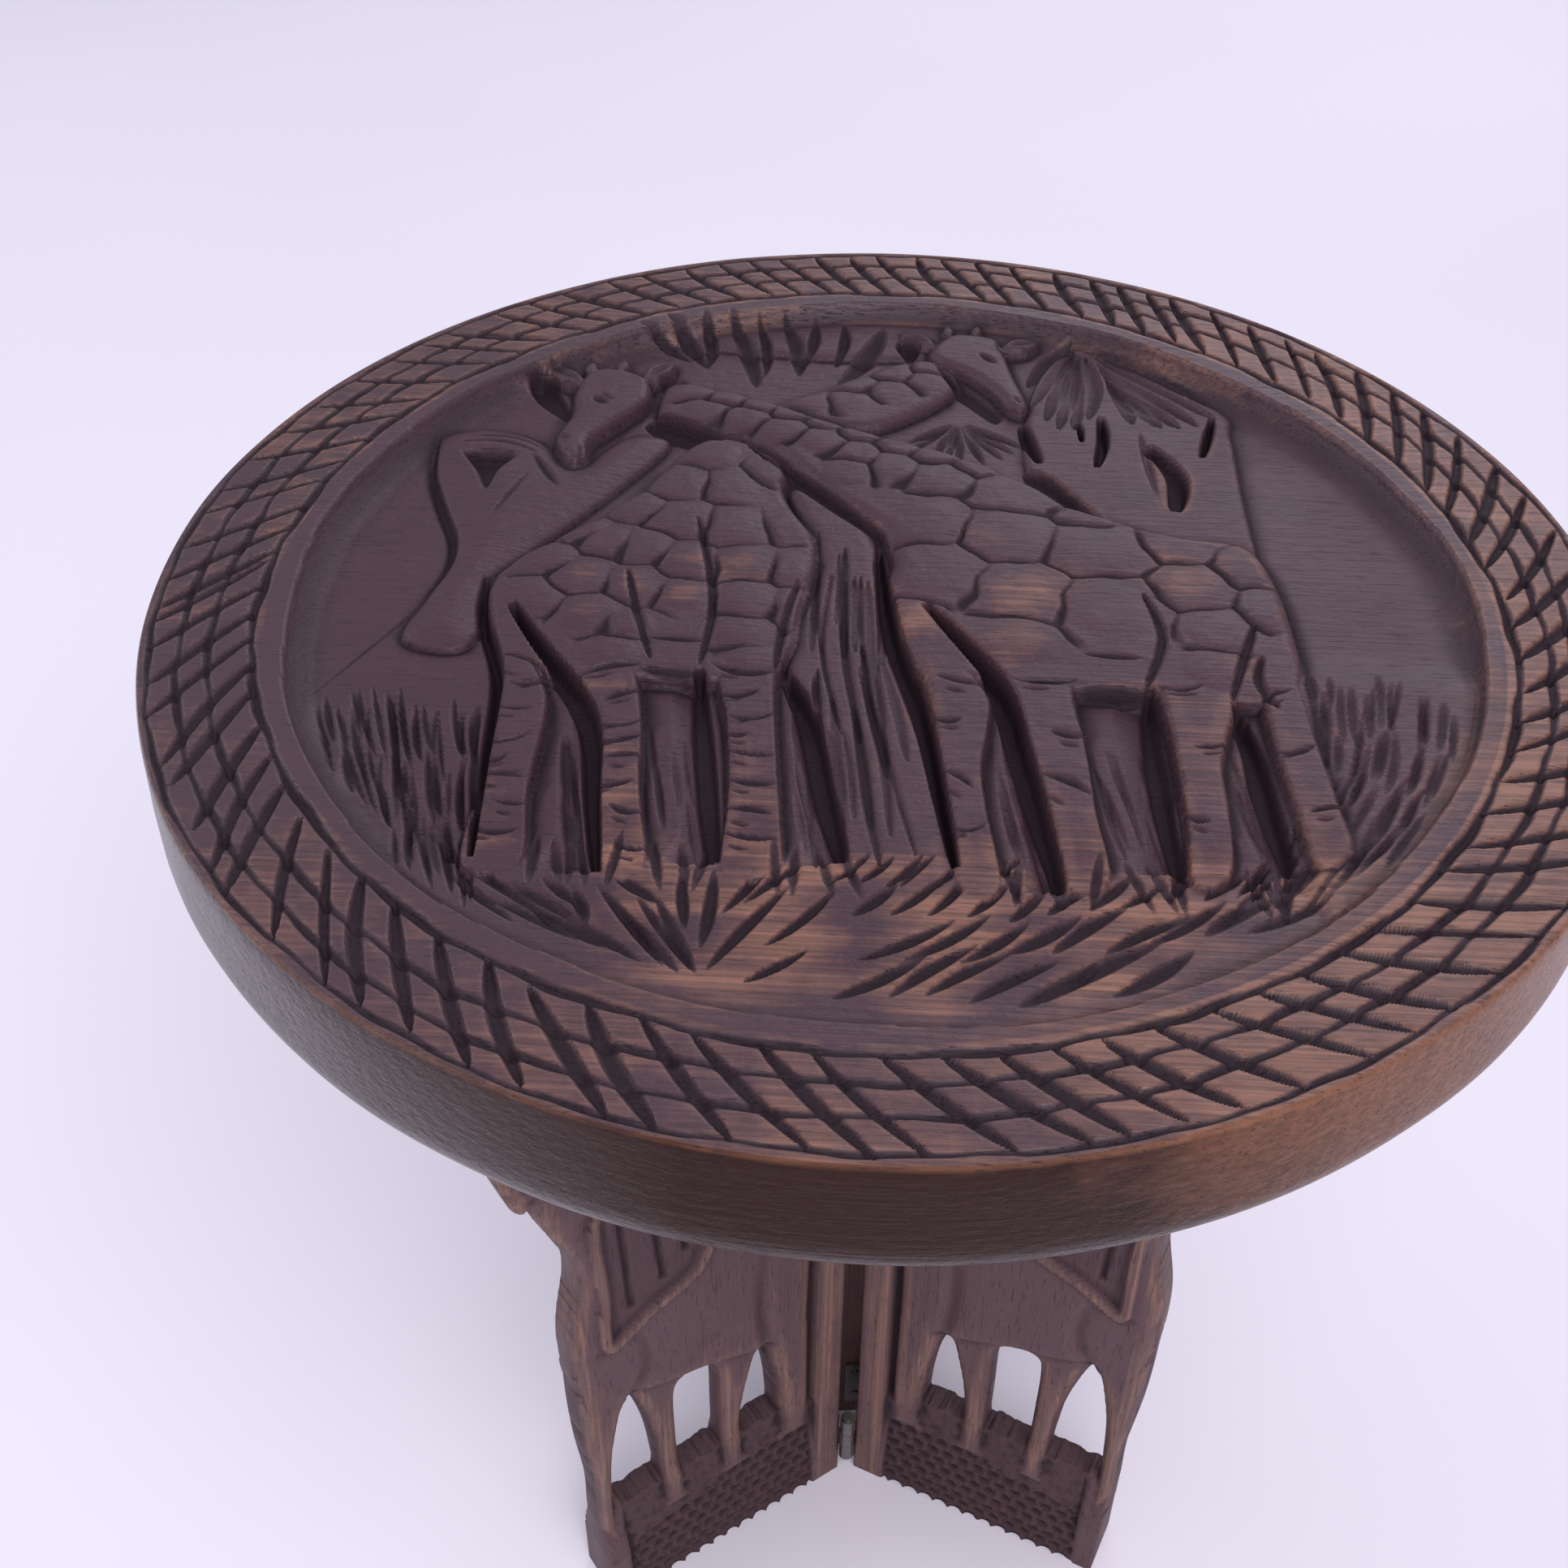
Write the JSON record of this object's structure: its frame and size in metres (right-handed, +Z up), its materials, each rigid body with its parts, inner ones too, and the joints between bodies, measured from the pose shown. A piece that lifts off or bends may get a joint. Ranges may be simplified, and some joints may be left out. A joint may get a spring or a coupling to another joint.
{
  "type": "folding carved coffee table",
  "caption": "Round hand-carved wooden coffee table: a thick disc top with giraffes in relief that lifts off a folding base of hinged, pierced elephant panels.",
  "frame": {"origin": "on the floor, under the centre of the round top", "axes": "+Z up; +Y along the back panel; the two front panels stand at 210 and 330 degrees"},
  "size_m": [0.42, 0.42, 0.455],
  "materials": {
    "carved_top_wood": "dark stained hardwood, rubbed through on the high spots, satin wax",
    "panel_wood": "dark stained hardwood, satin wax",
    "hinge_steel": "dark oxidised steel"
  },
  "bodies": {
    "base_right": {"right_panel": "panel_wood", "front_low_hinge_fixed_leaf": "hinge_steel", "front_low_hinge_pin": "hinge_steel", "rear_low_hinge_fixed_leaf": "hinge_steel", "rear_low_hinge_pin": "hinge_steel", "front_high_hinge_fixed_leaf": "hinge_steel", "front_high_hinge_pin": "hinge_steel", "rear_high_hinge_fixed_leaf": "hinge_steel", "rear_high_hinge_pin": "hinge_steel"},
    "base_left": {"left_panel": "panel_wood", "front_low_hinge_moving_leaf": "hinge_steel", "front_high_hinge_moving_leaf": "hinge_steel"},
    "base_back": {"back_panel": "panel_wood", "rear_low_hinge_moving_leaf": "hinge_steel", "rear_high_hinge_moving_leaf": "hinge_steel"},
    "top": {"table_top": "carved_top_wood"}
  },
  "joints": [
    {"name": "left_panel_fold", "type": "hinge", "parent": "base_right", "child": "base_left", "pos_m": [0, -0.01559, 0], "axis": [0, 0, 1], "range_deg": [0, 120]},
    {"name": "back_panel_fold", "type": "hinge", "parent": "base_right", "child": "base_back", "pos_m": [0.0135, 0.00779, 0], "axis": [0, 0, -1], "range_deg": [0, 120]},
    {"name": "top_lift", "type": "slide", "parent": "base_right", "child": "top", "axis": [0, 0, 1], "range_m": [0, 0.1]}
  ]
}
